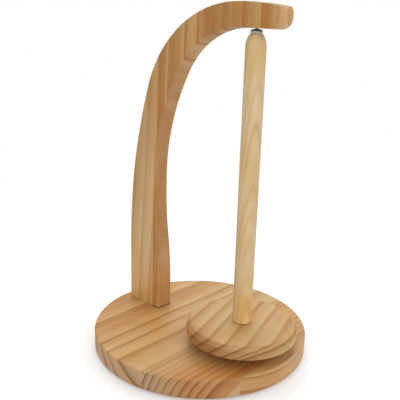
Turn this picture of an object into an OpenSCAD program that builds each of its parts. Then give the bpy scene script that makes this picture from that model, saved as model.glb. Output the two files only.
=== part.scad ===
// Rotating yarn holder: a pine stand whose curved arm holds a spindle from above by a magnet.
// The spindle hangs clear of the base, spins, swings a little and pulls off to take a ball of yarn.
// Millimetres, +Z up. The origin is on the floor, under the centre of the round base.
// The arm stands in the XZ plane, with its post on the -X side.

/* [Base] */
// Diameter of the round base
base_d = 200; // [186:1:260]
// Thickness of the base
base_t = 17; // [14:0.5:24]
// Rounding of the base's rim
base_edge_r = 1.5; // [0.5:0.25:4]
// Width of the two whole staves that the base is glued from
base_stave_w = 64; // [45:1:68]
// Width left of the last stave, at the rim under the spindle
base_last_w = 12; // [6:1:30]

/* [Feet] */
// Diameter of each felt pad
pad_d = 18; // [10:1:24]
// Thickness of each felt pad
pad_t = 2; // [1:0.25:4]
// Distance of the pads from the base's centre
pad_reach = 75; // [50:1:80]

/* [Arm] */
// Height of the whole stand, from the floor to the arm's crown
stand_h = 312; // [280:1:360]
// Thickness of the arm's board
arm_t = 17; // [15:0.5:24]
// Distance of the arm's back edge from the base's rim
arm_inset = 8.5; // [4:0.5:14]
// Width of the post where it stands on the base
foot_w = 42.5; // [38:0.5:50]
// Width of the post at its waist
waist_w = 35.5; // [30:0.5:38]
// Height of the waist above the base
waist_z = 121; // [105:1:124]
// Radius of the two curves that flare the post into its foot
flare_r = 322; // [250:1:420]
// Distance from the arm's back to its crown
crown_reach = 125.5; // [110:0.5:135]
// Height of the arm at its crown
crown_t = 20; // [17:0.5:24]
// Distance from the arm's back to the highest point of its underside
hollow_reach = 128.5; // [118:0.5:134]
// Radius of the long curve up the back
back_r = 493; // [450:1:540]
// Radius of the outer bend
outer_bend_r = 106; // [96:1:114]
// Radius of the long curve up the inner side
inner_r = 204; // [190:1:230]
// Radius of the inner bend
inner_bend_r = 75; // [68:1:82]
// Radius of the arm's top, from the crown to the tip
top_r = 245; // [200:1:400]
// Radius of the arm's underside, from the crown to the tip
under_r = 560; // [400:1:900]
// Distance from the arm's back to its tip
arm_reach = 170; // [162:0.5:185]
// Rounding of the tip's upper corner
tip_top_r = 5; // [1:0.25:6]
// Rounding of the tip's lower corner
tip_low_r = 9; // [2:0.25:10]
// Width of the stave at the arm's back, which makes the post
post_stave_w = 33.5; // [30:0.5:35]
// Width of the stave that makes the arm's crest
crest_stave_w = 59; // [52:0.5:64]
// Width of the stave at the arm's tip
tip_stave_w = 18.5; // [14:0.5:20]

/* [Screws] */
// Head diameter of the screws that hold the arm
arm_screw_head_d = 9; // [7:0.5:11]
// Shank diameter of the screws that hold the arm
arm_screw_d = 4.5; // [3:0.25:6]
// Length of the screws that hold the arm
arm_screw_l = 45; // [35:1:60]
// Distance between the two arm screws
arm_screw_gap = 17; // [13:0.5:20]
// Depth of the arm screws' heads below the base's underside
arm_screw_sink = 1; // [0:0.25:3]
// Head diameter of the screw under the disc
disc_screw_head_d = 8; // [6:0.5:10]
// Shank diameter of the screw under the disc
disc_screw_d = 4; // [3:0.25:5]
// Length of the screw under the disc
disc_screw_l = 30; // [20:1:40]
// Length of a screw's point
point_l = 5; // [3:0.5:8]
// Diameter of a screw's blunt point
point_d = 0.6; // [0.3:0.1:1]
// Length of a screw's cross slots
slot_l = 4.8; // [3:0.2:5.6]
// Width of a screw's cross slots
slot_w = 1; // [0.5:0.1:1.5]
// Depth of a screw's cross slots
slot_depth = 1.6; // [0.8:0.1:2]

/* [Magnet] */
// Distance from the arm's back to the spindle's axis
spindle_reach = 141.5; // [136:0.5:144]
// Outer diameter of the magnet's steel cup
magnet_cup_d = 12; // [10:0.5:14]
// Height of the magnet's steel cup
magnet_cup_h = 7; // [5:0.5:10]
// Wall and floor of the magnet's steel cup
magnet_cup_wall = 1.2; // [0.8:0.1:2]

/* [Swivel] */
// Diameter of the steel ball that hangs from the magnet
ball_d = 5; // [4.5:0.1:5.2]
// Gap between the ball and the magnet
ball_gap = 0.05; // [0.02:0.01:0.1]
// Wall of the ball's cup
ball_cup_wall = 0.55; // [0.4:0.05:0.6]
// Height of the cup's rim, below the ball's centre
ball_cup_rim = 0.8; // [0.7:0.1:1]
// Widest diameter of the swivel's domed cap
cap_d = 10; // [9.6:0.1:10.6]
// Radius of the cap's dome
cap_dome_r = 5.45; // [5.35:0.05:6]
// Height of the cap's top, above the ball's centre
cap_top = 1.3; // [1.1:0.05:1.4]
// Height of the cap's lip, which keeps the ball in
cap_lip_h = 1.2; // [0.9:0.05:1.2]
// Diameter of the cap's waist
cap_waist_d = 9; // [8.6:0.1:9.4]
// Depth of the cap's waist, below the ball's centre
cap_waist_z = 1.25; // [1.1:0.05:1.35]
// Diameter of the cap's body, inside the rod's nose
cap_body_d = 8.2; // [8:0.1:8.6]
// Depth of the cap's body, below the ball's centre
cap_body_z = 4.2; // [4:0.1:5]
// Diameter of the cap's stem
stem_d = 3.6; // [3:0.1:4.4]
// Diameter of the stem's peened head
stem_head_d = 5.4; // [5:0.1:6.4]
// Height of the stem's peened head
stem_head_h = 1.6; // [1:0.1:3]
// Outer diameter of the brass bush
bush_d = 7; // [6.8:0.1:7.8]
// Length of the brass bush
bush_l = 14; // [8:0.5:20]
// Running gap round the ball, its cup and the stem
running_gap = 0.05; // [0.03:0.01:0.08]
// End play of the stem in the bush
end_play = 0.15; // [0.05:0.05:0.4]

/* [Spindle] */
// Diameter of the rod
rod_d = 17.2; // [14:0.2:22]
// Diameter of the rod's rounded nose at its tip
nose_d = 10.1; // [9.7:0.1:12]
// Length of the rod's rounded nose
nose_l = 11; // [6:0.5:20]
// Depth of the nose's tip, below the ball's centre
nose_z = 1.5; // [1.4:0.1:3]
// Diameter of the tenon at the rod's foot
tenon_d = 12; // [9:0.5:13]
// Length of the tenon at the rod's foot
tenon_l = 6; // [3:0.5:8]
// Diameter of the disc that carries the yarn
disc_d = 99; // [80:1:99]
// Thickness of the disc
disc_t = 11.6; // [10:0.2:16]
// Bevel of the disc's upper edge
disc_bevel = 3; // [1:0.25:5]
// Bevel of the disc's lower edge
disc_low_bevel = 0.8; // [0.4:0.1:2]
// Gap between the disc and the base
disc_gap = 8.9; // [6:0.1:20]

/* [Hidden] */
$fn = 96;

glue_gap = 0.05;
arc_steps = 24;
past = 1;
stave_names = ["arm_post", "arm_bend", "arm_crest", "arm_tip"];
pine_tan = [0.80, 0.64, 0.43];
pine_brown = [0.72, 0.53, 0.34];
pine_pale = [0.84, 0.70, 0.48];
steel = [0.70, 0.70, 0.71];

base_r = base_d / 2;
base_top = pad_t + base_t;
base_joints = [for (k = [2, 1, 0]) base_r - base_last_w - k * base_stave_w];
base_cuts = concat([-base_r - past], base_joints, [base_r + past]);

back_x = arm_inset - base_r;
foot_x = back_x + foot_w;
waist_x = back_x + waist_w;
crown_x = back_x + crown_reach;
hollow_x = back_x + hollow_reach;
tip_x = back_x + arm_reach;
spindle_x = back_x + spindle_reach;
post_joint_x = back_x + post_stave_w;
tip_joint_x = tip_x - tip_stave_w;
arm_cuts = [back_x - past, post_joint_x, tip_joint_x - crest_stave_w, tip_joint_x, tip_x + past];
under_z = stand_h - crown_t;

// Turn of each long curve before its bend takes over, and the height where the curve starts
back_turn = acos((back_x + back_r - crown_x) / (back_r - outer_bend_r));
back_z = stand_h - outer_bend_r * (1 - sin(back_turn)) - back_r * sin(back_turn);
inner_turn = acos((waist_x + inner_r - hollow_x) / (inner_r - inner_bend_r));
inner_z = under_z - inner_bend_r * (1 - sin(inner_turn)) - inner_r * sin(inner_turn);
flare_turn = acos(1 - (foot_w - waist_w) / (2 * flare_r));
flare_z = base_top + waist_z - 2 * flare_r * sin(flare_turn);

// Slopes of the arm's top and underside at the tip, and where they stop short of its rounded corners
top_slope = asin((tip_x - crown_x) / top_r);
under_slope = asin((tip_x - hollow_x) / under_r);
top_end = asin((tip_x - crown_x - tip_top_r) / top_r);
under_end = asin((tip_x - hollow_x - 2 * tip_low_r) / under_r);
tip_top_z = stand_h - top_r * (1 - cos(top_slope));
tip_low_z = under_z - under_r * (1 - cos(under_slope));

magnet_z = under_z - under_r + sqrt(pow(under_r, 2) - pow(spindle_x - hollow_x, 2));
magnet_d = magnet_cup_d - 2 * magnet_cup_wall - 2 * glue_gap;
magnet_h = magnet_cup_h - magnet_cup_wall;

ball_r = ball_d / 2;
ball_z = magnet_z - ball_gap - ball_r;
cup_inner_r = ball_r + running_gap;
cup_outer_r = cup_inner_r + ball_cup_wall;
socket_r = cup_outer_r + running_gap;
lip_z = cap_top - cap_lip_h;
bush_top_z = ball_z - cap_body_z - end_play;
bush_low_z = bush_top_z - bush_l;
stem_head_z = bush_low_z - end_play;
nose_top_z = ball_z - nose_z;
stem_pocket_z = stem_head_z - stem_head_h - past;

rod_r = rod_d / 2;
nose_drop = (rod_d - nose_d) / 2;
nose_arc_r = (pow(nose_l, 2) + pow(nose_drop, 2)) / (2 * nose_drop);
disc_r = disc_d / 2;
disc_low_z = base_top + disc_gap;
disc_top_z = disc_low_z + disc_t;

arm_screw_mid = back_x + post_stave_w / 2;
arm_screw_places = [for (side = [-1, 1]) arm_screw_mid + side * arm_screw_gap / 2];

// Points along an arc about a centre, from one angle to another
function arc(centre, r, from, to) = [
    for (k = [0:arc_steps])
        let (a = from + (to - from) * k / arc_steps)
        centre + r * [cos(a), sin(a)]
];

// Points of a rounded corner, for an outline that turns right from one heading to another
function corner(p, r, heading_in, heading_out) =
    let (
        turn = heading_in - heading_out,
        start = p - r * tan(turn / 2) * [cos(heading_in), sin(heading_in)],
        centre = start + r * [sin(heading_in), -cos(heading_in)]
    )
    arc(centre, r, heading_in + 90, heading_out + 90);

// Outline of the arm in the XZ plane: up the back, over the crown, round the tip and down the inner side
function arm_outline() = concat(
    [[back_x, base_top]],
    arc([back_x + back_r, back_z], back_r, 180, 180 - back_turn),
    arc([crown_x, stand_h - outer_bend_r], outer_bend_r, 180 - back_turn, 90),
    arc([crown_x, stand_h - top_r], top_r, 90, 90 - top_end),
    corner([tip_x, tip_top_z], tip_top_r, -top_slope, -90),
    corner([tip_x, tip_low_z], tip_low_r, -90, -180 - under_slope),
    arc([hollow_x, under_z - under_r], under_r, 90 - under_end, 90),
    arc([hollow_x, under_z - inner_bend_r], inner_bend_r, 90, 180 - inner_turn),
    arc([waist_x + inner_r, inner_z], inner_r, 180 - inner_turn, 180),
    arc([waist_x + flare_r, base_top + waist_z], flare_r, 180, 180 + flare_turn),
    arc([foot_x - flare_r, flare_z], flare_r, flare_turn, 0),
    [[foot_x, base_top]]
);

// A countersunk wood screw that points up, with its head's flat at height z
module countersunk_screw(x, z, head_d, shank_d, length) {
    head_h = (head_d - shank_d) / 2;
    translate([x, 0, z]) difference() {
        union() {
            cylinder(h = head_h, d1 = head_d, d2 = shank_d);
            cylinder(h = length - point_l, d = shank_d);
            translate([0, 0, length - point_l]) cylinder(h = point_l, d1 = shank_d, d2 = point_d);
        }
        for (turn = [0, 90])
            rotate([0, 0, turn])
                translate([-slot_l / 2, -slot_w / 2, -past])
                    cube([slot_l, slot_w, slot_depth + past]);
    }
}

// The hole that such a screw fills, open below its head
module screw_hole(x, z, head_d, shank_d, length) {
    head_h = (head_d - shank_d) / 2;
    translate([x, 0, z]) {
        translate([0, 0, -base_t]) cylinder(h = base_t, d = head_d + 2 * glue_gap);
        cylinder(h = head_h, d1 = head_d + 2 * glue_gap, d2 = shank_d + 2 * glue_gap);
        cylinder(h = length + glue_gap, d = shank_d + 2 * glue_gap);
    }
}

module arm_screw_holes() {
    for (x = arm_screw_places)
        screw_hole(x, pad_t + arm_screw_sink, arm_screw_head_d, arm_screw_d, arm_screw_l);
}

// Everything between two X positions
module slab(from, to) {
    translate([from, -base_d, -past]) cube([to - from, 2 * base_d, stand_h + 2 * past]);
}

module base_round() {
    translate([0, 0, pad_t]) rotate_extrude() {
        square([base_r - base_edge_r, base_t]);
        translate([0, base_edge_r]) square([base_r, base_t - 2 * base_edge_r]);
        for (z = [base_edge_r, base_t - base_edge_r])
            translate([base_r - base_edge_r, z]) circle(base_edge_r);
    }
}

module base_stave(k) {
    color(pine_tan) difference() {
        intersection() {
            base_round();
            slab(base_cuts[k], base_cuts[k + 1]);
        }
        arm_screw_holes();
    }
}

module foot_pad(k) {
    color([0.25, 0.24, 0.23]) rotate([0, 0, 45 + 90 * k]) translate([pad_reach, 0, 0])
        cylinder(h = pad_t, d = pad_d);
}

module arm_stave(k) {
    color(pine_brown) difference() {
        intersection() {
            rotate([90, 0, 0]) linear_extrude(arm_t, center = true) polygon(arm_outline());
            slab(arm_cuts[k], arm_cuts[k + 1]);
        }
        arm_screw_holes();
        translate([spindle_x, 0, magnet_z - past])
            cylinder(h = magnet_cup_h + past, d = magnet_cup_d + 2 * glue_gap);
    }
}

module arm_screws() {
    color(steel)
        for (x = arm_screw_places)
            countersunk_screw(x, pad_t + arm_screw_sink, arm_screw_head_d, arm_screw_d, arm_screw_l);
}

module magnet_cup() {
    color(steel) translate([spindle_x, 0, magnet_z]) difference() {
        cylinder(h = magnet_cup_h, d = magnet_cup_d);
        translate([0, 0, -past])
            cylinder(h = magnet_h + past, d = magnet_cup_d - 2 * magnet_cup_wall);
    }
}

module magnet() {
    color([0.55, 0.55, 0.57]) translate([spindle_x, 0, magnet_z]) cylinder(h = magnet_h, d = magnet_d);
}

module swivel_ball() {
    color(steel) translate([spindle_x, 0, ball_z]) sphere(ball_r);
}

// Spherical liner under the ball, which turns with the cap
module ball_cup() {
    color([0.90, 0.89, 0.85]) translate([spindle_x, 0, ball_z]) difference() {
        sphere(cup_outer_r);
        sphere(cup_inner_r);
        translate([-cap_d, -cap_d, -ball_cup_rim]) cube(2 * cap_d);
    }
}

// Outline of the cap from its axis: a dome, widest at the ball's centre, a skirt, a waist and a body in the rod
module cap_profile() {
    dome_drop = sqrt(pow(cap_dome_r, 2) - pow(cap_d / 2, 2));
    intersection() {
        translate([0, -cap_waist_z]) square([cap_d / 2, cap_waist_z + cap_top]);
        translate([0, -dome_drop]) circle(cap_dome_r);
    }
    translate([0, -nose_z]) square([cap_waist_d / 2, nose_z]);
    translate([0, -cap_body_z]) square([cap_body_d / 2, cap_body_z]);
}

module swivel_cap() {
    color([0.82, 0.82, 0.83]) translate([spindle_x, 0, ball_z]) {
        difference() {
            rotate_extrude() cap_profile();
            sphere(cup_inner_r);
            difference() {
                sphere(socket_r);
                translate([-cap_d, -cap_d, lip_z]) cube(2 * cap_d);
            }
        }
        translate([0, 0, stem_head_z - ball_z]) cylinder(h = ball_z - cap_body_z - stem_head_z, d = stem_d);
        translate([0, 0, stem_head_z - stem_head_h - ball_z]) cylinder(h = stem_head_h, d = stem_head_d);
    }
}

module swivel_bush() {
    color([0.78, 0.62, 0.30]) translate([spindle_x, 0, bush_low_z]) difference() {
        cylinder(h = bush_l, d = bush_d);
        translate([0, 0, -past]) cylinder(h = bush_l + 2 * past, d = stem_d + 2 * running_gap);
    }
}

module spindle_rod() {
    nose_low_z = nose_top_z - nose_l;
    color(pine_pale) translate([spindle_x, 0, 0]) difference() {
        union() {
            rotate_extrude() {
                translate([0, disc_top_z]) square([rod_r, nose_low_z - disc_top_z]);
                intersection() {
                    translate([0, nose_low_z]) square([rod_r, nose_l]);
                    translate([rod_r - nose_arc_r, nose_low_z]) circle(nose_arc_r);
                }
            }
            translate([0, 0, disc_top_z - tenon_l]) cylinder(h = tenon_l + past, d = tenon_d);
        }
        translate([0, 0, stem_pocket_z])
            cylinder(h = stand_h - stem_pocket_z, d = bush_d + 2 * glue_gap);
        translate([0, 0, bush_top_z]) cylinder(h = stand_h, d = cap_body_d + 2 * running_gap);
        screw_hole(0, disc_low_z, disc_screw_head_d, disc_screw_d, disc_screw_l);
    }
}

module disc() {
    color(pine_tan) translate([spindle_x, 0, 0]) difference() {
        translate([0, 0, disc_low_z]) {
            cylinder(h = disc_low_bevel, r1 = disc_r - disc_low_bevel, r2 = disc_r);
            translate([0, 0, disc_low_bevel]) cylinder(h = disc_t - disc_low_bevel - disc_bevel, r = disc_r);
            translate([0, 0, disc_t - disc_bevel]) cylinder(h = disc_bevel, r1 = disc_r, r2 = disc_r - disc_bevel);
        }
        translate([0, 0, disc_top_z - tenon_l - glue_gap])
            cylinder(h = tenon_l + past, d = tenon_d + 2 * glue_gap);
        screw_hole(0, disc_low_z, disc_screw_head_d, disc_screw_d, disc_screw_l);
    }
}

module disc_screw() {
    color(steel)
        countersunk_screw(spindle_x, disc_low_z, disc_screw_head_d, disc_screw_d, disc_screw_l);
}

for (k = [0:3]) base_stave(k);
for (k = [0:3]) foot_pad(k);
for (k = [0:3]) arm_stave(k);
arm_screws();
magnet_cup();
magnet();
swivel_ball();
ball_cup();
swivel_cap();
swivel_bush();
spindle_rod();
disc();
disc_screw();
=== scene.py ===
"""A rotating yarn holder: a pine stand whose curved arm carries a spindle that hangs from a magnet.

The wood is drawn from growth rings in the space of each board, so the rings on a face meet the rings on
its edges and ends. The arm's boards get rounded arrises. The rod, the cap, the disc and the felt pads are
turned on a lathe of geometry nodes. The base's staves, the screws, the magnet with its cup, the ball with
its liner, and the bush keep the frame's own shapes.
"""
import math

import bmesh
import bpy
from mathutils import Matrix, Vector


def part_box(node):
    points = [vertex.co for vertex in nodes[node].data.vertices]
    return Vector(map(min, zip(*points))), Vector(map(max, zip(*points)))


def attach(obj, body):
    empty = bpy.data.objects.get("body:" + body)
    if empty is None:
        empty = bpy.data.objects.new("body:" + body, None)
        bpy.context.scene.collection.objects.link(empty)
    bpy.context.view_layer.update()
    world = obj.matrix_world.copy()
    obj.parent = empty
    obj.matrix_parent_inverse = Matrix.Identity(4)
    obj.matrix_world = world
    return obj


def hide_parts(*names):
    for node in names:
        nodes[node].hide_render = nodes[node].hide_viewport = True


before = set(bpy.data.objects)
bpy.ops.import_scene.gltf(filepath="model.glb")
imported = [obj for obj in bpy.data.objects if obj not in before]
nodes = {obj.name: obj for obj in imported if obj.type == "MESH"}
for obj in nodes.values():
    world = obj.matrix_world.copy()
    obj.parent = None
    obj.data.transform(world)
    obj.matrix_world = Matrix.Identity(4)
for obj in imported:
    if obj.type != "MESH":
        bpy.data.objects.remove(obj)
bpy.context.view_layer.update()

MM = 0.001
UP = Vector((0, 0, 1))


def level(degrees):
    """A level direction, turned from X towards Y."""
    turn = math.radians(degrees)
    return Vector((math.cos(turn), math.sin(turn), 0))


def box_radius(low, high):
    """The radius of a round upright piece, from the corners of its box."""
    return (high.x - low.x) / 2


# Places that the frame gives
BASE_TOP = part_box("base_stave_1")[1].z
LAST_JOINT_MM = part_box("base_stave_4")[0].x / MM
ARM_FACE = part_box("arm_post")[0].y
POST_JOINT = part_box("arm_post")[1].x
BEND_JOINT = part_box("arm_bend")[1].x
CREST_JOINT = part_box("arm_crest")[1].x
DISC_LOW, DISC_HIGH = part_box("disc")
DISC_R = box_radius(DISC_LOW, DISC_HIGH)
SPINDLE = Vector(((DISC_LOW.x + DISC_HIGH.x) / 2, 0, 0))
ROD_LOW, ROD_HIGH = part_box("spindle_rod")
ROD_R = box_radius(ROD_LOW, ROD_HIGH)
BUSH_LOW, BUSH_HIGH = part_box("swivel_bush")
CAP_LOW, CAP_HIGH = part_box("swivel_cap")
CAP_R = box_radius(CAP_LOW, CAP_HIGH)
BALL_LOW, BALL_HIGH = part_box("swivel_ball")
BALL_R = box_radius(BALL_LOW, BALL_HIGH)
BALL_Z = (BALL_LOW.z + BALL_HIGH.z) / 2


# Expressions on sockets

# Places of a Mix node's sockets for colours, because it uses their names more than once
MIX_FACTOR = 0
MIX_FIRST = 6
MIX_SECOND = 7
MIX_RESULT = 2


class Wire:
    """A node's socket in an expression. Operators add Math nodes, and node() adds any other kind."""

    def __init__(self, tree, socket):
        self.tree = tree
        self.socket = socket

    def node(self, kind, inputs, out=0, stops=None, **settings):
        """An output of a new node, which gets its settings first, then its inputs' values and links."""
        made = self.tree.nodes.new(kind)
        for key, value in settings.items():
            setattr(made, key, value)
        if stops:
            fill_ramp(made.color_ramp, stops)
        for key, value in inputs.items():
            if isinstance(value, Wire):
                self.tree.links.new(value.socket, made.inputs[key])
            else:
                made.inputs[key].default_value = value
        return Wire(self.tree, made.outputs[out])

    def maths(self, operation, *values, **settings):
        return self.node("ShaderNodeMath", dict(enumerate(values)), operation=operation, **settings)

    def vectors(self, operation, inputs, out="Vector"):
        """Vector maths on this vector and the other inputs."""
        return self.node("ShaderNodeVectorMath", {0: self, **inputs}, out, operation=operation)

    def __add__(self, other):
        return self.maths("ADD", self, other)

    __radd__ = __add__

    def __sub__(self, other):
        return self.maths("SUBTRACT", self, other)

    def __rsub__(self, other):
        return self.maths("SUBTRACT", other, self)

    def __mul__(self, other):
        return self.maths("MULTIPLY", self, other)

    __rmul__ = __mul__

    def __truediv__(self, other):
        return self.maths("DIVIDE", self, other)

    def __rtruediv__(self, other):
        return self.maths("DIVIDE", other, self)

    def __abs__(self):
        return self.maths("ABSOLUTE", self)

    def root(self):
        return self.maths("SQRT", self)

    def clamped(self):
        """This value, held between 0 and 1."""
        return self.maths("ADD", self, 0.0, use_clamp=True)

    def beyond(self, limit):
        """1 where this value is over a limit, and otherwise 0."""
        return self.maths("GREATER_THAN", self, limit)

    def along(self, direction):
        """How far this vector reaches along a direction."""
        return self.vectors("DOT_PRODUCT", {1: direction}, "Value")

    def ramp(self, stops):
        """A grey ramp over this value, from stops of (value, tone)."""
        return self.node("ShaderNodeValToRGB", {0: self}, stops=stops)

    def blend(self, first, second, way="MIX"):
        """A colour from first to second as this value goes from 0 to 1."""
        inputs = {MIX_FACTOR: self, MIX_FIRST: first, MIX_SECOND: second}
        return self.node("ShaderNodeMix", inputs, MIX_RESULT, data_type="RGBA", blend_type=way)


def fill_ramp(ramp, stops):
    """Gives a ramp its stops, with soft changes of tone between them."""
    ramp.interpolation = "EASE"
    while len(ramp.elements) < len(stops):
        ramp.elements.new(1.0)
    for element, (place, tone) in zip(ramp.elements, stops):
        element.position = place
        element.color = (tone, tone, tone, 1)


def vector(x, y, z):
    """A vector from three values, of which at least one is a wire."""
    wire = next(value for value in (x, y, z) if isinstance(value, Wire))
    return wire.node("ShaderNodeCombineXYZ", {0: x, 1: y, 2: z})


def noise(place, detail, roughness=0.5):
    """Soft noise from 0 to 1, whose marks are about 1 across."""
    inputs = {"Vector": place, "Scale": 1.0, "Detail": detail, "Roughness": roughness}
    return place.node("ShaderNodeTexNoise", inputs)


class Finish:
    """A new material: its shader, and the wires of its object coordinates and normal."""

    def __init__(self, name, constants):
        self.material = bpy.data.materials.new(name)
        self.material.use_nodes = True
        self.tree = self.material.node_tree
        self.shader = self.tree.nodes["Principled BSDF"]
        for socket, value in constants.items():
            self.shader.inputs[socket].default_value = value
        source = self.tree.nodes.new("ShaderNodeTexCoord")
        self.place = Wire(self.tree, source.outputs["Object"])
        self.normal = Wire(self.tree, source.outputs["Normal"])

    def paint(self, socket, wire):
        self.tree.links.new(wire.socket, self.shader.inputs[socket])

    def bump(self, height, strength, depth):
        raised = height.node("ShaderNodeBump", {"Height": height, "Strength": strength, "Distance": depth})
        self.paint("Normal", raised)


def colour(red, green, blue):
    return (red, green, blue, 1.0)


WHITE = colour(1, 1, 1)


# Wood

# A growth ring's usual first tone, reached at this depth or this share of its width, whichever is less
PALE = 0.95
RING_START_MM = 1.7
RING_START_SHARE = 0.16

# Share of a ring's width after which a black body would start, and how much later a white one does
RING_BODY_SHARE = 0.2
RING_BODY_LATER = 0.75

# Body of the rings between the pith and those that cross a board's face
INNER_BODY = 0.6

# Sizes of the marks in the wood in mm: across the grain, along it and into the board
STRAY_MM = (40, 110, 40)
RIPPLE_MM = (9, 45, 9)
STREAK_MM = (2.6, 150, 16)
FIBRE_MM = (1 / 1.5, 18, 1 / 1.5)
FLECK_MM = (1 / 2.2, 8, 1 / 2.2)
CLOUD_MM = (13, 110, 13)
AMBER_MM = (30, 50, 30)
AMBER_SHIFT_MM = 210

# What the marks move the rings by, as shares of a board's wander
STRAY_SHARE = 2
RIPPLE_SHARE = 0.5

# What the marks add to the wood's tone, to its roughness and to its height
FIBRE_TONE = 0.55
CLOUD_TONE = 0.7
FLECK_TONE = -0.25
FIBRE_ROUGHNESS = 0.16
RING_ROUGHNESS = -0.06
END_ROUGHNESS = 0.1
RING_HEIGHT = -0.25
FIBRE_HEIGHT = 0.9
FLECK_HEIGHT = -0.5

SATIN = {"IOR": 1.5, "Specular IOR Level": 0.4}
SATIN_ROUGHNESS = 0.52
GRAIN_BUMP = 0.16
GRAIN_DEPTH = 0.25 * MM

AMBER = colour(0.97, 0.9, 0.76)
# Colour of the dark joint lines: painted shade of the narrow gaps where pieces meet
JOINT_SHADE_COLOUR = colour(0.09, 0.032, 0.01)
END_TINT = colour(0.84, 0.85, 1.08)
END_LINE = colour(0.42, 0.36, 0.34)


class Board:
    """How a board was cut: a point on its face, its direction across the grain, and along the grain."""

    def __init__(self, face, across, grain):
        self.face = Vector(face)
        self.across = Vector(across)
        self.grain = Vector(grain)
        self.out = self.across.cross(self.grain)


def even_rings(body, places):
    """Rings that start light and have the same body, as (place of the outer edge, first tone, body)."""
    return [(place, PALE, body) for place in places]


def ring_radius(place, pith):
    """The radius of the ring that crosses a board's face at a place, in mm."""
    return math.hypot(place - pith[0], pith[1])


def ring_stops(rings):
    """Ramp stops of growth rings, which are given by the radius of their outer edge.

    A ring starts at its first tone, goes over to its body, a dark one sooner, and ends in a thin dark edge.
    """
    first, last = rings[0][0], rings[-1][0]
    stops = []
    for (inner, _, _), (outer, pale, body) in zip(rings, rings[1:]):
        width = outer - inner
        start = min(RING_START_MM, RING_START_SHARE * width)
        settled = (RING_BODY_SHARE + RING_BODY_LATER * body) * width
        stops += [(inner, 0.0), (inner + start, pale), (inner + settled, body)]
    stops.append((last, 0.0))
    return [((radius - first) / (last - first), tone) for radius, tone in stops]


def marks(place, size, detail, roughness=0.5):
    """Noise over a place in a board, with marks of a size."""
    return noise(vector(*[value / length for value, length in zip(place, size)]), detail, roughness)


def pine(name, board, rings, pith, light, dark, contrast=1.0, wander=2.0, lean=0.0, streaks=0.9,
         drifts=(), core=None, seam=None, side_contrast=0.0, side_tint=WHITE,
         end_contrast=0.9, end_tint=END_TINT, end_line=0.6):
    """Satin pine. Its rings are cylinders round the pith, which is (across, out) of the face in mm.

    contrast and streaks say how strongly the rings and the streaks in them show, wander how far the rings
    stray along the grain, in mm, and lean how much they cross it. drifts are tints that come in over the
    face: a direction (across, along), where the tint starts, where it is full, and its colour; several of
    them are painted light and shade. core is a radius with the light and dark colours of the wood inside
    it, and seam the height and width of a joint's dark line, which is painted shade of its gap. The side
    and end contrasts are what the rings gain there, and the tints what the colour is multiplied by; on the
    arm these tints, and the rod's side tint, are painted light and shade. end_line is how much of END_LINE
    the edges of the rings get on end grain.
    """
    finish = Finish(name, SATIN)
    from_face = finish.place.vectors("SUBTRACT", {1: board.face})
    across = from_face.along(board.across / MM)
    along = from_face.along(board.grain / MM)
    depth = from_face.along(board.out / MM)
    place = (across, along, depth)

    # Rings, which stray a little along the board
    stray = marks(place, STRAY_MM, detail=1.0) - 0.5
    ripple = marks(place, RIPPLE_MM, detail=1.0) - 0.5
    beside_pith = across - pith[0]
    above_pith = depth - pith[1]
    straight = (beside_pith * beside_pith + above_pith * above_pith).root()
    radius = straight + stray * (STRAY_SHARE * wander) + ripple * (RIPPLE_SHARE * wander) + along * lean
    first, last = rings[0][0], rings[-1][0]
    ring = ((radius - first) / (last - first)).ramp(ring_stops(rings))

    # Streaks that follow the rings, fibres along the grain, short dark resin flecks and soft clouds
    streak = marks((radius, along, depth), STREAK_MM, detail=3.0, roughness=0.6) - 0.5
    fibre = marks(place, FIBRE_MM, detail=3.0, roughness=0.65) - 0.5
    fleck = marks(place, FLECK_MM, detail=1.0).ramp([(0.64, 0.0), (0.74, 1.0)])
    cloud = marks(place, CLOUD_MM, detail=4.0, roughness=0.6) - 0.5

    # Tone and colour
    side = abs(finish.normal.along(board.across))
    end_grain = abs(finish.normal.along(board.grain))
    bands = (ring - 0.5) * contrast * (1 + side * side_contrast + end_grain * end_contrast)
    tone = 0.5 + bands + streak * streaks + fibre * FIBRE_TONE + cloud * CLOUD_TONE + fleck * FLECK_TONE
    tone = tone.clamped()
    shade = tone.blend(dark, light)
    amber_place = (across + AMBER_SHIFT_MM, along, depth)
    amber = marks(amber_place, AMBER_MM, detail=1.0).ramp([(0.42, 0.0), (0.66, 1.0)])
    shade = amber.blend(shade, AMBER, "MULTIPLY")
    # Drifts: tints that come in over the face, several of which are painted light and shade
    for (over, up), start, full, tint in drifts:
        reach = across * over + along * up
        shade = ((reach - start) / (full - start)).clamped().blend(shade, tint, "MULTIPLY")
    if core:
        edge, core_light, core_dark = core
        shade = (edge - radius).clamped().blend(shade, tone.blend(core_dark, core_light))
    # Tints of the sides and the end grain. On the arm they are painted light, and on the rod the side tint
    # is painted shade
    shade = side.blend(shade, side_tint, "MULTIPLY")
    shade = end_grain.blend(shade, end_tint, "MULTIPLY")
    ring_edge = ring.ramp([(0.0, 1.0), (0.1, 0.0)])
    shade = (ring_edge * end_grain * end_line).blend(shade, END_LINE, "MULTIPLY")
    # The dark line of a joint: painted shade of its gap
    if seam:
        shade = seam_line(finish, shade, *seam)

    rough = SATIN_ROUGHNESS + fibre * FIBRE_ROUGHNESS + ring * RING_ROUGHNESS + end_grain * END_ROUGHNESS
    height = ring * RING_HEIGHT + fibre * FIBRE_HEIGHT + fleck * FLECK_HEIGHT
    finish.paint("Base Color", shade)
    finish.paint("Roughness", rough)
    finish.bump(height, GRAIN_BUMP, GRAIN_DEPTH)
    return finish.material


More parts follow.
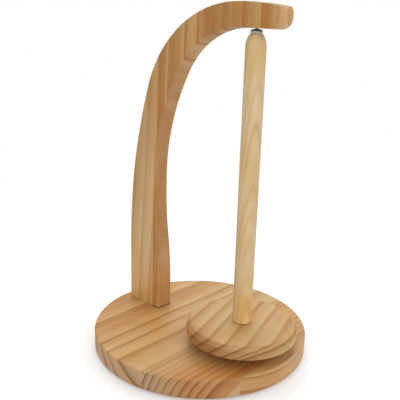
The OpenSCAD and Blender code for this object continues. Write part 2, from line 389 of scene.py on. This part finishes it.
def seam_line(finish, shade, height, width):
    """The dark line of a joint at a height, which is painted shade of the narrow gap there."""
    close = (1 - abs(finish.place.along(UP) - height) / width).clamped()
    return close.ramp([(0.0, 0.0), (0.45, 1.0)]).blend(shade, JOINT_SHADE_COLOUR)


def board_pine(name, board, edges, pith, light, dark, inner=(), **habits):
    """Pine whose rings cross the board's face at these edges. inner adds rings inside them, by radius."""
    rings = even_rings(INNER_BODY, inner)
    rings += sorted((ring_radius(place, pith), pale, body) for place, pale, body in edges)
    return pine(name, board, rings, pith, light, dark, **habits)


# The base's staves, whose ring edges are places along X in mm

BASE_BOARD = Board((0, 0, BASE_TOP), (1, 0, 0), (0, 1, 0))
BASE_LIGHT = colour(0.655, 0.405, 0.165)
BASE_DARK = colour(0.46, 0.22, 0.062)

STAVE_1_RINGS = even_rings(0.42, (-35, -66, -97, -125))
# Warmer towards the front: painted warm shade and bounced light from the post's foot
STAVE_1_NEAR_WARM_SHADE = colour(1.03, 0.97, 0.88)
stave_1_pine = board_pine(
    "pine base stave 1", BASE_BOARD, STAVE_1_RINGS, pith=(62, 72), light=BASE_LIGHT, dark=BASE_DARK,
    drifts=[((0, -1), 5, 40, STAVE_1_NEAR_WARM_SHADE)])

STAVE_2_RINGS = even_rings(0.6, (52, 25.5, -35, -66)) + even_rings(0.62, (-3,)) + even_rings(0.8, (-19.5,))
# Paler and cooler towards the back: a painted sheen of light
STAVE_2_FAR_SHEEN = colour(0.95, 1.04, 1.13)
stave_2_pine = board_pine(
    "pine base stave 2", BASE_BOARD, STAVE_2_RINGS, pith=(70, 78), light=BASE_LIGHT, dark=BASE_DARK,
    drifts=[((0, 1), -10, 60, STAVE_2_FAR_SHEEN)])

# Narrow rings at even steps, which redden towards the near right: partly the wood's heart, partly painted
# warm shade under the disc
STAVE_3_PITH = (163, -54)
STAVE_3_FIRST_MM = 22
STAVE_3_STEP_MM = 6.4
STAVE_3_BODIES = (0.4, 0.4, 0.45, 0.8, 0.8, 0.75, 0.6, 0.6, 0.6, 0.6)
STAVE_3_RINGS = [
    (STAVE_3_FIRST_MM + STAVE_3_STEP_MM * step, PALE, body) for step, body in enumerate(STAVE_3_BODIES)
]
STAVE_3_LIGHT = colour(0.64, 0.41, 0.18)
STAVE_3_DARK = colour(0.46, 0.225, 0.068)
STAVE_3_HEART_AND_SHADE = colour(0.95, 0.7, 0.46)

# The wood is pale inside a ring that would cross the face this far past the joint, so it shows on the rim
STAVE_3_CORE_PAST_MM = 3
STAVE_3_CORE_R = ring_radius(LAST_JOINT_MM + STAVE_3_CORE_PAST_MM, STAVE_3_PITH)
stave_3_pine = board_pine(
    "pine base stave 3", BASE_BOARD, STAVE_3_RINGS, STAVE_3_PITH, light=STAVE_3_LIGHT, dark=STAVE_3_DARK,
    inner=(82,), contrast=0.85, wander=1.2, drifts=[((1, -0.35), 60, 85, STAVE_3_HEART_AND_SHADE)],
    core=(STAVE_3_CORE_R, BASE_LIGHT, BASE_DARK), end_tint=colour(0.82, 0.92, 1.32))

STAVE_4_RINGS = even_rings(0.7, (84, 100, 115))
stave_4_pine = board_pine(
    "pine base stave 4", BASE_BOARD, STAVE_4_RINGS, pith=(70, -95), light=BASE_LIGHT, dark=BASE_DARK,
    inner=(74, 84), contrast=0.6, side_tint=colour(1.04, 1.01, 1.03))


# The arm's boards, whose ring edges are places along X in mm

# Height from which places along the grain are measured
ARM_DATUM_Z = 100 * MM
ARM_BOARD = Board((0, ARM_FACE, ARM_DATUM_Z), (1, 0, 0), (0, 0, 1))
# The arm's faces that turn up or down, across the end grain, show fainter rings and a paler, cooler colour:
# painted light
ARM_END_GRAIN_AND_LIGHT = {"end_contrast": -0.4, "end_tint": colour(1.02, 1.13, 1.42)}
ARM_LIGHT = colour(0.59, 0.335, 0.12)
ARM_DARK = colour(0.42, 0.178, 0.038)

POST_RINGS = even_rings(0.7, (-40, -59, -73, -88, -104))
POST_LIGHT = colour(0.68, 0.45, 0.2)
POST_DARK = colour(0.54, 0.31, 0.115)
# The post's foot is warmer and lighter: partly the wood, partly painted warm light bounced from the base
POST_FOOT_WARMTH_AND_GLOW = colour(1.08, 1.03, 0.93)
POST_TOP = colour(0.83, 0.72, 0.6)
# The post's faces across the grain, such as its inner face, are paler and cooler: painted light from the
# right
post_pine = board_pine(
    "pine arm post", ARM_BOARD, POST_RINGS, pith=(30, -60), light=POST_LIGHT, dark=POST_DARK,
    wander=1.2, lean=0.06, drifts=[((0, -1), 20, 70, POST_FOOT_WARMTH_AND_GLOW), ((-3, 1), 225, 305, POST_TOP)],
    side_contrast=-0.75, side_tint=colour(1.03, 1.08, 1.2), **ARM_END_GRAIN_AND_LIGHT)

BEND_RINGS = [
    (-6.3, 0.9, 0.9), (-13.2, 0.45, 0.5), (-26.7, 0.85, 0.75), (-45.1, 1.0, 0.27), (-57.2, 0.9, 0.2),
    (-80, 0.95, 0.7),
]
# Paler and cooler near the foot: painted light on the lower inner face
BEND_FOOT_LIGHT = colour(1.14, 1.2, 1.32)
# A dark line where the post's foot meets the base: painted shade of the gap
FOOT_JOINT_SHADE = (BASE_TOP, 1.3 * MM)
# The bend's inner face is paler and cooler: painted light from the right
bend_pine = board_pine(
    "pine arm bend", ARM_BOARD, BEND_RINGS, pith=(120, -20), light=ARM_LIGHT, dark=ARM_DARK,
    wander=1.4, lean=0.04, drifts=[((0, -1), 5, 30, BEND_FOOT_LIGHT)], seam=FOOT_JOINT_SHADE,
    side_contrast=-0.95, side_tint=colour(0.97, 1.0, 1.2),
    # Its faces that turn up or down, such as the arch's underside, are much paler and cooler: painted light
    end_contrast=0.5, end_tint=colour(1.08, 1.24, 1.6), end_line=0.35)

CREST_RINGS = [
    (80, 0.9, 0.9), (61, 0.9, 0.9), (43, 0.95, 0.55), (22, 0.4, 0.3), (10, 0.35, 0.25), (-8, 0.2, 0.1),
]
crest_pine = board_pine(
    "pine arm crest", ARM_BOARD, CREST_RINGS, pith=(150, -30), light=ARM_LIGHT, dark=ARM_DARK,
    wander=1.0, **ARM_END_GRAIN_AND_LIGHT)

TIP_RINGS = [(110, 0.9, 0.9), (83, 0.9, 0.9), (66, 0.9, 0.6), (59.5, 0.1, 0.1), (40, 0.9, 0.5)]
TIP_LIGHT = colour(0.62, 0.378, 0.158)
TIP_DARK = colour(0.44, 0.175, 0.03)
# The tip's faces across the grain, such as its end, are much paler and cooler: a painted sheen of light
# from the right
tip_pine = board_pine(
    "pine arm tip", ARM_BOARD, TIP_RINGS, pith=(150, -40), light=TIP_LIGHT, dark=TIP_DARK,
    wander=0.8, side_contrast=-0.5, side_tint=colour(1.16, 1.35, 1.75), **ARM_END_GRAIN_AND_LIGHT)


# The disc, whose ring edges are places across its grain in mm

# Degrees from X to the direction of the grain
DISC_GRAIN = 107
DISC_BOARD = Board(SPINDLE + UP * DISC_HIGH.z, level(DISC_GRAIN - 90), level(DISC_GRAIN))
DISC_RINGS = even_rings(0.64, (38.5, 20.5, 3, -12.5, -25, -40, -56))
DISC_LIGHT = colour(0.62, 0.4, 0.165)
DISC_DARK = colour(0.45, 0.23, 0.066)
DISC_HEART = colour(0.86, 0.75, 0.62)
disc_pine = board_pine(
    "pine disc", DISC_BOARD, DISC_RINGS, pith=(60, -90), light=DISC_LIGHT, dark=DISC_DARK,
    inner=(72, 80, 89.6), wander=0.9, drifts=[((-0.5, -0.85), 38, 46, DISC_HEART)],
    end_contrast=1.5, end_tint=colour(0.77, 0.67, 0.64))


# The rod, whose rings are given by their radii in mm

# Degrees from X to the direction across the grain, and height from which places along it are measured
ROD_ACROSS = 42
ROD_DATUM_Z = 150 * MM
ROD_BOARD = Board(SPINDLE + level(ROD_ACROSS - 90) * ROD_R + UP * ROD_DATUM_Z, level(ROD_ACROSS), UP)
ROD_RINGS = even_rings(0.88, (44, 50, 60, 62.8, 67.8, 79, 88))
ROD_LIGHT = colour(0.79, 0.6, 0.345)
ROD_DARK = colour(0.65, 0.42, 0.18)
# Golden and lighter towards the foot and one side: painted warm light bounced from the disc
ROD_BOUNCED_LIGHT = colour(1.2, 1.12, 0.86)
# A dark line round the rod's foot where it meets the disc: painted shade of the gap
ROD_JOINT_SHADE = (DISC_HIGH.z, 0.6 * MM)
# The rod is a little darker on its left and right sides as the camera sees it: painted shade
rod_pine = pine(
    "pine rod", ROD_BOARD, ROD_RINGS, pith=(-23, -65), light=ROD_LIGHT, dark=ROD_DARK,
    contrast=0.5, wander=1.6, lean=-0.1, streaks=1.9, drifts=[((2, -1), 62, 112, ROD_BOUNCED_LIGHT)],
    seam=ROD_JOINT_SHADE, side_tint=colour(0.91, 0.92, 0.93))


# Metal, nylon and felt

# Rubbing marks to a metre along X, Y and Z, and dull spots to a metre
TURNED_MARKS = (300.0, 300.0, 9000.0)
ROLLED_MARKS = (2500.0, 2500.0, 2500.0)
DULL_SPOTS = 900.0

# How much the rubbing marks and the spots dull the metal, and how much the spots break up its painted dark
# top
MARK_DULLNESS = 0.6
SPOT_DULLNESS = 0.5
SPOT_SHADE_BREAK = 0.3
# Colour of a dome's top: painted shade and dark reflection of the magnet above
DARK_TOP_SHADE = colour(0.045, 0.038, 0.03)

MARK_BUMP = 0.08
MARK_DEPTH = 0.05 * MM
SPECKLE_ROUGHNESS = 0.2
SPECKLE_DEPTH = 0.4 * MM


def metal(name, tint, worn, smooth, rough, stretch, dark_top=None):
    """Plated or bare metal with fine rubbing marks, which stretch along a direction, and small dull spots.

    dark_top gives the heights between which the metal turns dark: painted shade and a painted dark
    reflection of the magnet above.
    """
    finish = Finish(name, {"Metallic": 1.0})
    rubbed = noise(finish.place.vectors("MULTIPLY", {1: stretch}), detail=3.0, roughness=0.6)
    spots = noise(finish.place.vectors("SCALE", {"Scale": DULL_SPOTS}), detail=2.0)
    dull = (rubbed * MARK_DULLNESS + spots * SPOT_DULLNESS).ramp([(0.35, 0.0), (0.75, 1.0)])
    shade = dull.blend(tint, worn)
    # The top turns dark: painted shade and reflection of the magnet above
    if dark_top:
        start, end = dark_top
        rise = (finish.place.along(UP) - start) / (end - start)
        shade = (rise + (spots - 0.5) * SPOT_SHADE_BREAK).clamped().blend(shade, DARK_TOP_SHADE)
    finish.paint("Base Color", shade)
    finish.paint("Roughness", smooth + dull * (rough - smooth))
    finish.bump(rubbed, MARK_BUMP, MARK_DEPTH)
    return finish.material


def speckled(name, light, dark, size, rough, grit):
    """A matte finish with fine speckles of two tones and of a size, such as felt or nylon."""
    finish = Finish(name, {"Specular IOR Level": 0.2})
    speckle = noise(finish.place.vectors("SCALE", {"Scale": 1 / size}), detail=4.0, roughness=0.7)
    finish.paint("Base Color", speckle.ramp([(0.3, 0.0), (0.7, 1.0)]).blend(dark, light))
    finish.paint("Roughness", rough + (speckle - 0.5) * SPECKLE_ROUGHNESS)
    finish.bump(speckle, grit, SPECKLE_DEPTH)
    return finish.material


# Heights over which the dome's top is painted dark, as the shade and reflection of the magnet above it
DOME_SHADE_HEIGHTS = (BALL_Z + 0.1 * MM, BALL_Z + 1.7 * MM)
nickel = metal(
    "nickel plate", colour(0.6, 0.58, 0.54), colour(0.42, 0.4, 0.36), smooth=0.16, rough=0.34,
    stretch=TURNED_MARKS)
dome_nickel = metal(
    "nickel of the dome", colour(0.52, 0.49, 0.43), colour(0.22, 0.2, 0.17), smooth=0.2, rough=0.36,
    stretch=TURNED_MARKS, dark_top=DOME_SHADE_HEIGHTS)
ball_steel = metal(
    "polished ball steel", colour(0.74, 0.74, 0.75), colour(0.6, 0.6, 0.61), smooth=0.08, rough=0.2,
    stretch=ROLLED_MARKS)
zinc = metal(
    "zinc plated steel", colour(0.66, 0.67, 0.69), colour(0.5, 0.5, 0.52), smooth=0.28, rough=0.5,
    stretch=ROLLED_MARKS)
brass = metal(
    "turned brass", colour(0.72, 0.52, 0.2), colour(0.5, 0.34, 0.12), smooth=0.24, rough=0.42,
    stretch=TURNED_MARKS)
nylon = speckled(
    "white nylon", colour(0.86, 0.85, 0.8), colour(0.78, 0.77, 0.71), size=0.5 * MM, rough=0.5, grit=0.05)
felt = speckled(
    "grey felt", colour(0.11, 0.105, 0.1), colour(0.035, 0.033, 0.031), size=0.35 * MM, rough=0.95,
    grit=0.8)

for node, material in {
    "base_stave_1": stave_1_pine, "base_stave_2": stave_2_pine, "base_stave_3": stave_3_pine,
    "base_stave_4": stave_4_pine, "arm_screws": zinc, "disc_screw": zinc, "magnet_cup": zinc,
    "magnet": nickel, "swivel_ball": ball_steel, "ball_cup": nylon, "swivel_bush": brass,
}.items():
    nodes[node].material_slots[0].material = material


# Pieces that stand for the frame's own


def stand_in(piece, body, slot, *replaced):
    """Lets a piece ride on a body in place of nodes of the frame."""
    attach(piece, body)
    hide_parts(*replaced)


def new_object(name, data):
    made = bpy.data.objects.new(name, data)
    bpy.context.scene.collection.objects.link(made)
    return made


def settle(holder):
    """Turns a piece with modifiers into a plain mesh with its faces outwards."""
    shown = holder.evaluated_get(bpy.context.evaluated_depsgraph_get())
    mesh = bpy.data.meshes.new_from_object(shown)
    holder.modifiers.clear()
    holder.data = mesh
    shape = bmesh.new()
    shape.from_mesh(mesh)
    bmesh.ops.recalc_face_normals(shape, faces=shape.faces)
    shape.to_mesh(mesh)
    shape.free()
    return holder


# Rounded boards of the arm

ARRIS_R = 1.5 * MM
ARRIS_STEPS = 3
SHARP_ANGLE = math.radians(40)
FLAT_ANGLE = math.radians(0.3)
MERGE = 0.001 * MM
NEAR = 0.01 * MM

# Shares of the arris that the foot's edges on the base get, which leave a dark line under its inner end
FOOT_SHARE = 0.2
FOOT_END_SHARE = 0.6
FOOT_END = -49 * MM


def arris_share(ends, joints):
    """How much of the arris a sharp edge gets. The edges on glue joints stay sharp."""
    on_face = all(abs(abs(end.y) - abs(ARM_FACE)) < NEAR for end in ends)
    on_base = all(abs(end.z - BASE_TOP) < NEAR for end in ends)
    on_foot_end = on_base and all(abs(end.x - FOOT_END) < NEAR for end in ends)
    on_joint = any(all(abs(end.x - joint) < NEAR for end in ends) for joint in joints)
    if on_joint:
        return 0.0
    if on_foot_end:
        return FOOT_END_SHARE
    if not on_face:
        return 0.0
    return FOOT_SHARE if on_base else 1.0


def rounded_board(name, node, material, joints):
    """A copy of one of the arm's boards with its arrises rounded."""
    shape = bmesh.new()
    shape.from_mesh(nodes[node].data)
    bmesh.ops.remove_doubles(shape, verts=shape.verts, dist=MERGE)
    bmesh.ops.dissolve_limit(shape, angle_limit=FLAT_ANGLE, verts=shape.verts, edges=shape.edges)
    weight = shape.edges.layers.float.new("bevel_weight_edge")
    for edge in shape.edges:
        if edge.calc_face_angle(0) >= SHARP_ANGLE:
            edge[weight] = arris_share([vert.co for vert in edge.verts], joints)
    mesh = bpy.data.meshes.new(name)
    shape.to_mesh(mesh)
    shape.free()
    if "custom_normal" in mesh.attributes:
        mesh.attributes.remove(mesh.attributes["custom_normal"])
    mesh.materials.clear()
    mesh.materials.append(material)
    piece = new_object(name, mesh)
    bevel = piece.modifiers.new("arrises", "BEVEL")
    bevel.limit_method = "WEIGHT"
    bevel.width = ARRIS_R
    bevel.segments = ARRIS_STEPS
    settle(piece)
    piece.data.shade_smooth()
    piece.data.set_sharp_from_angle(angle=SHARP_ANGLE)
    stand_in(piece, "stand", "pine_arm", node)


rounded_board("post_board", "arm_post", post_pine, [POST_JOINT])
rounded_board("bend_board", "arm_bend", bend_pine, [POST_JOINT, BEND_JOINT])
rounded_board("crest_board", "arm_crest", crest_pine, [BEND_JOINT, CREST_JOINT])
rounded_board("tip_board", "arm_tip", tip_pine, [CREST_JOINT])


# The lathe

# Names and kinds of its inputs, in the order in which lathe_tree takes them
LATHE_INPUTS = {
    "Profile": "Geometry", "Axis": "Vector", "Segments": "Int", "Corner Steps": "Int", "Finish": "Material",
}
CORNER_STEPS = 4


def lathe_tree():
    """Turns a profile round an upright axis. The profile's points carry the rounding of their corners."""
    tree = bpy.data.node_groups.new("lathe", "GeometryNodeTree")
    for name, kind in LATHE_INPUTS.items():
        tree.interface.new_socket(name, in_out="INPUT", socket_type="NodeSocket" + kind)
    tree.interface.new_socket("Piece", in_out="OUTPUT", socket_type="NodeSocketGeometry")
    given = tree.nodes.new("NodeGroupInput")
    wires = [Wire(tree, given.outputs[name]) for name in LATHE_INPUTS]
    profile, axis, segments, corner_steps, finish = wires

    # The profile with its corners rounded, and a grid with a row of its points for each turn
    rounding = profile.node("GeometryNodeInputNamedAttribute", {"Name": "rounding"}, data_type="FLOAT")
    line = profile.node("GeometryNodeMeshToCurve", {"Mesh": profile})
    line = line.node("GeometryNodeFilletCurve", {
        "Curve": line, "Count": corner_steps, "Radius": rounding, "Limit Radius": True,
    }, mode="POLY")
    count = line.node(
        "GeometryNodeAttributeDomainSize", {"Geometry": line}, "Point Count", component="CURVE")
    grid = line.node("GeometryNodeMeshGrid", {"Vertices X": segments + 1, "Vertices Y": count}, "Mesh")

    # Each point of the grid, turned to its place round the axis
    index = line.node("GeometryNodeInputIndex", {})
    turn = line.maths("FLOOR", (index + 0.5) / count)
    position = line.node("GeometryNodeInputPosition", {})
    point = line.node("GeometryNodeSampleIndex", {
        "Geometry": line, "Value": position, "Index": index - turn * count,
    }, data_type="FLOAT_VECTOR")
    reach = point.node("ShaderNodeSeparateXYZ", {0: point}, "X")
    height = point.node("ShaderNodeSeparateXYZ", {0: point}, "Z")
    angle = turn / segments * math.tau
    turned = vector(reach * line.maths("COSINE", angle), reach * line.maths("SINE", angle), height)
    placed = turned.vectors("ADD", {1: axis})

    # One closed mesh, smooth but for its sharp edges
    piece = grid.node("GeometryNodeSetPosition", {"Geometry": grid, "Position": placed})
    piece = piece.node("GeometryNodeMergeByDistance", {"Geometry": piece, "Distance": 2 * MERGE})
    piece = piece.node("GeometryNodeSetShadeSmooth", {"Geometry": piece, "Shade Smooth": True})
    sharp = piece.node("GeometryNodeInputMeshEdgeAngle", {}).beyond(SHARP_ANGLE)
    piece = piece.node("GeometryNodeSetShadeSmooth", {
        "Geometry": piece, "Selection": sharp, "Shade Smooth": False,
    }, domain="EDGE")
    piece = piece.node("GeometryNodeRealizeInstances", {"Geometry": piece})
    piece = piece.node("GeometryNodeSetMaterial", {"Geometry": piece, "Material": finish})
    result = tree.nodes.new("NodeGroupOutput")
    tree.links.new(piece.socket, result.inputs["Piece"])
    return tree


LATHE = lathe_tree()


def turned_piece(name, profile, axis, material, segments, corner_steps=CORNER_STEPS):
    """A piece turned from (radius, height, rounding) points, which start and end on the axis or meet."""
    mesh = bpy.data.meshes.new(name)
    mesh.from_pydata([(r, 0, z) for r, z, _ in profile], [(k, k + 1) for k in range(len(profile) - 1)], [])
    rounding = mesh.attributes.new("rounding", "FLOAT", "POINT")
    rounding.data.foreach_set("value", [corner for _, _, corner in profile])
    piece = new_object(name, mesh)
    lathe = piece.modifiers.new("lathe", "NODES")
    lathe.node_group = LATHE
    sockets = {item.name: item.identifier for item in LATHE.interface.items_tree if item.in_out == "INPUT"}
    values = {"Axis": axis, "Segments": segments, "Corner Steps": corner_steps, "Finish": material}
    for key, value in values.items():
        lathe[sockets[key]] = value
    return settle(piece)


def arc(centre, radius, start, end, steps):
    """Points of a round stretch of a profile, which need no rounding of their own."""
    angles = [start + (end - start) * k / steps for k in range(steps + 1)]
    return [(centre[0] + radius * math.cos(a), centre[1] + radius * math.sin(a), 0.0) for a in angles]


# The turned rod

CLEARANCE = 0.05 * MM
ROD_SEGMENTS = 96
TENON_R = 6.0 * MM
NOSE_R = 5.05 * MM
NOSE_L = 11.0 * MM
NOSE_STEPS = 14
ROD_FOOT_EASE = 0.8 * MM
NOSE_EASE = 0.4 * MM
CAP_BORE_R = 4.15 * MM
BUSH_BORE_R = box_radius(BUSH_LOW, BUSH_HIGH) + CLEARANCE
BORE_FLOOR = CAP_LOW.z - MM


def rod_profile():
    """A tenon in the disc, a straight shaft, and a rounded nose with the bores of the cap and the bush."""
    nose_in = ROD_R - NOSE_R
    nose_arc_r = (NOSE_L ** 2 + nose_in ** 2) / (2 * nose_in)
    nose_centre = (ROD_R - nose_arc_r, ROD_HIGH.z - NOSE_L)
    nose = arc(nose_centre, nose_arc_r, 0, math.asin(NOSE_L / nose_arc_r), NOSE_STEPS)
    return [
        (0, ROD_LOW.z, 0), (TENON_R, ROD_LOW.z, 0), (TENON_R, DISC_HIGH.z, 0),
        (ROD_R, DISC_HIGH.z, ROD_FOOT_EASE), *nose[:-1], (NOSE_R, ROD_HIGH.z, NOSE_EASE),
        (CAP_BORE_R, ROD_HIGH.z, 0), (CAP_BORE_R, BUSH_HIGH.z, 0),
        (BUSH_BORE_R, BUSH_HIGH.z, 0), (BUSH_BORE_R, BORE_FLOOR, 0), (0, BORE_FLOOR, 0),
    ]


rod = turned_piece("turned_rod", rod_profile(), SPINDLE, rod_pine, ROD_SEGMENTS)
stand_in(rod, "spindle", "pine_rod", "spindle_rod")


# The turned cap

CAP_SEGMENTS = 96
FULL_SWING = math.radians(14.1)
DOME_R = 5.45 * MM
DOME_SHOULDER = math.radians(42.6)
DOME_STEPS = 8
SKIRT_LOW = BALL_Z - 1.25 * MM
SKIRT_EASE = 0.3 * MM
WAIST_R = 4.5 * MM
WAIST_LOW = ROD_HIGH.z + CLEARANCE
CAP_BODY_R = 4.1 * MM
CAP_BODY_LOW = BALL_Z - 4.2 * MM
STEM_R = 1.8 * MM
STEM_HEAD_R = 2.7 * MM
STEM_HEAD_HIGH = CAP_LOW.z + 1.6 * MM
STEM_HEAD_EASE = 0.4 * MM
MOUTH_R = 1.8 * MM
MOUTH_EASE = 0.15 * MM
LIP_R = BALL_R + CLEARANCE
LIP_RISE = 0.1 * MM
LIP_STEPS = 6
SOCKET_R = 3.15 * MM
SOCKET_STEPS = 12


def cap_profile():
    """A stem with a head, a body in the rod, a waist, a skirt and a dome with the ball's socket.

    The dome's top slopes so that it clears the magnet at full swing.
    """
    dome_foot = math.acos(CAP_R / DOME_R)
    dome = arc((0, BALL_Z - DOME_R * math.sin(dome_foot)), DOME_R, dome_foot, DOME_SHOULDER, DOME_STEPS)
    shoulder_r, shoulder_z, _ = dome[-1]
    mouth_z = shoulder_z + (shoulder_r - MOUTH_R) * math.tan(FULL_SWING)
    lip_low = math.asin(LIP_RISE / LIP_R)
    return [
        (0, CAP_LOW.z, 0), (STEM_HEAD_R, CAP_LOW.z, STEM_HEAD_EASE), (STEM_HEAD_R, STEM_HEAD_HIGH, 0),
        (STEM_R, STEM_HEAD_HIGH, 0), (STEM_R, CAP_BODY_LOW, 0),
        (CAP_BODY_R, CAP_BODY_LOW, 0), (CAP_BODY_R, WAIST_LOW, 0),
        (WAIST_R, WAIST_LOW, 0), (WAIST_R, SKIRT_LOW, 0),
        (CAP_R, SKIRT_LOW, SKIRT_EASE), *dome, (MOUTH_R, mouth_z, MOUTH_EASE),
        *arc((0, BALL_Z), LIP_R, math.acos(MOUTH_R / LIP_R), lip_low, LIP_STEPS),
        *arc((0, BALL_Z), SOCKET_R, lip_low, -math.pi / 2, SOCKET_STEPS),
    ]


cap = turned_piece("turned_cap", cap_profile(), SPINDLE, dome_nickel, CAP_SEGMENTS)
stand_in(cap, "cap", "nickel_plate", "swivel_cap")


# The turned disc

DISC_SEGMENTS = 192
DISC_BEVEL = 3.0 * MM
DISC_EASE = 1.2 * MM
DISC_LOW_BEVEL = 0.8 * MM
DISC_LOW_EASE = 0.5 * MM
TENON_HOLE_R = TENON_R + CLEARANCE
TENON_FLOOR = ROD_LOW.z - CLEARANCE
SCREW_HEAD_R = 4.05 * MM
SCREW_HOLE_R = 2.05 * MM


def disc_profile():
    """Bevelled above and eased below, with the holes of the rod's tenon and of the screw."""
    sink_high = DISC_LOW.z + SCREW_HEAD_R - SCREW_HOLE_R
    return [
        (SCREW_HOLE_R, TENON_FLOOR, 0), (SCREW_HOLE_R, sink_high, 0), (SCREW_HEAD_R, DISC_LOW.z, 0),
        (DISC_R - DISC_LOW_BEVEL, DISC_LOW.z, DISC_LOW_EASE),
        (DISC_R, DISC_LOW.z + DISC_LOW_BEVEL, DISC_LOW_EASE),
        (DISC_R, DISC_HIGH.z - DISC_BEVEL, DISC_EASE), (DISC_R - DISC_BEVEL, DISC_HIGH.z, DISC_EASE),
        (TENON_HOLE_R, DISC_HIGH.z, 0), (TENON_HOLE_R, TENON_FLOOR, 0), (SCREW_HOLE_R, TENON_FLOOR, 0),
    ]


disc = turned_piece("turned_disc", disc_profile(), SPINDLE, disc_pine, DISC_SEGMENTS)
stand_in(disc, "spindle", "pine_disc", "disc")


# The felt pads

PAD_COUNT = 4
PAD_SEGMENTS = 48
PAD_CORNER_STEPS = 3
PAD_LOW_EASE = 0.5 * MM
PAD_HIGH_EASE = 0.3 * MM


def pad_profile(low, high):
    pad_r = box_radius(low, high)
    return [(0, low.z, 0), (pad_r, low.z, PAD_LOW_EASE), (pad_r, high.z, PAD_HIGH_EASE), (0, high.z, 0)]


for number in range(1, PAD_COUNT + 1):
    node = f"foot_pad_{number}"
    low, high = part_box(node)
    middle = Vector(((low.x + high.x) / 2, (low.y + high.y) / 2, 0))
    profile = pad_profile(low, high)
    pad = turned_piece(f"felt_pad_{number}", profile, middle, felt, PAD_SEGMENTS, PAD_CORNER_STEPS)
    stand_in(pad, "stand", "felt", node)


# Floor and light

# The floor is left as it is out to FLOOR_CLEAR and has turned white over FLOOR_FADE beyond it
FLOOR_SIZE = 8.0
FLOOR_GREY = colour(0.8, 0.8, 0.8)
FLOOR_LIFT = 0.3
FLOOR_CLEAR = 0.3
FLOOR_FADE = 0.4
AMBIENT = 0.72
LIGHT_AIM = Vector((0, 0, 0.12))


def seen_directly(tree):
    """1 for what the camera sees, directly, mirrored or through a piece, and 0 for light on the object."""
    path = tree.nodes.new("ShaderNodeLightPath")
    rays = ("Is Camera Ray", "Is Glossy Ray", "Is Transmission Ray")
    camera, glossy, through = [Wire(tree, path.outputs[ray]) for ray in rays]
    return (camera + glossy + through).clamped()


def white_level(tree):
    """Strength of the white surroundings: plain white where they are seen, and less as light."""
    return AMBIENT + seen_directly(tree) * (1 - AMBIENT)


def studio_floor():
    """A white floor that keeps the object's shadow and turns into the white surroundings further out."""
    mesh = bpy.data.meshes.new("floor")
    half = FLOOR_SIZE / 2
    corners = [(-half, -half, 0), (half, -half, 0), (half, half, 0), (-half, half, 0)]
    mesh.from_pydata(corners, [], [(0, 1, 2, 3)])
    floor = new_object("floor", mesh)
    finish = Finish("studio floor", {
        "Base Color": FLOOR_GREY, "Roughness": 0.9, "Specular IOR Level": 0.0, "Emission Color": WHITE,
    })
    finish.paint("Emission Strength", seen_directly(finish.tree) * FLOOR_LIFT)
    distance = finish.place.vectors("LENGTH", {}, "Value")
    share = ((distance - FLOOR_CLEAR) / FLOOR_FADE).clamped()
    white = share.node("ShaderNodeEmission", {"Color": WHITE, "Strength": white_level(finish.tree)})
    lit = Wire(finish.tree, finish.shader.outputs["BSDF"])
    both = share.node("ShaderNodeMixShader", {0: share, 1: lit, 2: white})
    finish.tree.links.new(both.socket, finish.tree.nodes["Material Output"].inputs["Surface"])
    mesh.materials.append(finish.material)


def studio_world():
    world = bpy.data.worlds.new("studio")
    world.use_nodes = True
    tree = world.node_tree
    background = tree.nodes["Background"]
    background.inputs["Color"].default_value = WHITE
    tree.links.new(white_level(tree).socket, background.inputs["Strength"])
    bpy.context.scene.world = world


def softbox(name, direction, distance, size, power):
    light = bpy.data.lights.new(name, "AREA")
    light.shape = "DISK"
    light.size = size
    light.energy = power
    lamp = new_object(name, light)
    away = Vector(direction).normalized()
    lamp.location = LIGHT_AIM + away * distance
    lamp.rotation_euler = away.to_track_quat("Z", "Y").to_euler()


studio_floor()
studio_world()
softbox("key", direction=(-0.4, 0.45, 1.0), distance=1.4, size=1.4, power=7.5)
softbox("fill", direction=(0.95, -0.5, 0.45), distance=1.4, size=0.9, power=3.2)


# Camera of the photograph's square view, with its angles in degrees

VIEW_AZIMUTH = 42.06
VIEW_ELEVATION = 15.76
VIEW_ROLL = 1.65
VIEW_DISTANCE = 0.5293
VIEW_AIM = Vector((0, 0, 0.14135))
VIEW_AIM_RIGHT = -0.0035
LENS_MM = 52.47
SENSOR_MM = 36.0


def view_camera():
    elevation = math.radians(VIEW_ELEVATION)
    roll = math.radians(VIEW_ROLL)
    right = level(VIEW_AZIMUTH)
    back = level(VIEW_AZIMUTH - 90) * math.cos(elevation) + UP * math.sin(elevation)
    over = back.cross(right)
    rolled_right = right * math.cos(roll) + over * math.sin(roll)
    rolled_over = over * math.cos(roll) - right * math.sin(roll)
    lens = bpy.data.cameras.new("view")
    lens.lens = LENS_MM
    lens.sensor_width = SENSOR_MM
    camera = new_object("view", lens)
    pose = Matrix((rolled_right, rolled_over, back)).transposed().to_4x4()
    pose.translation = VIEW_AIM + right * VIEW_AIM_RIGHT + back * VIEW_DISTANCE
    camera.matrix_world = pose
    bpy.context.scene.camera = camera


view_camera()
bpy.context.scene.view_settings.view_transform = "Standard"
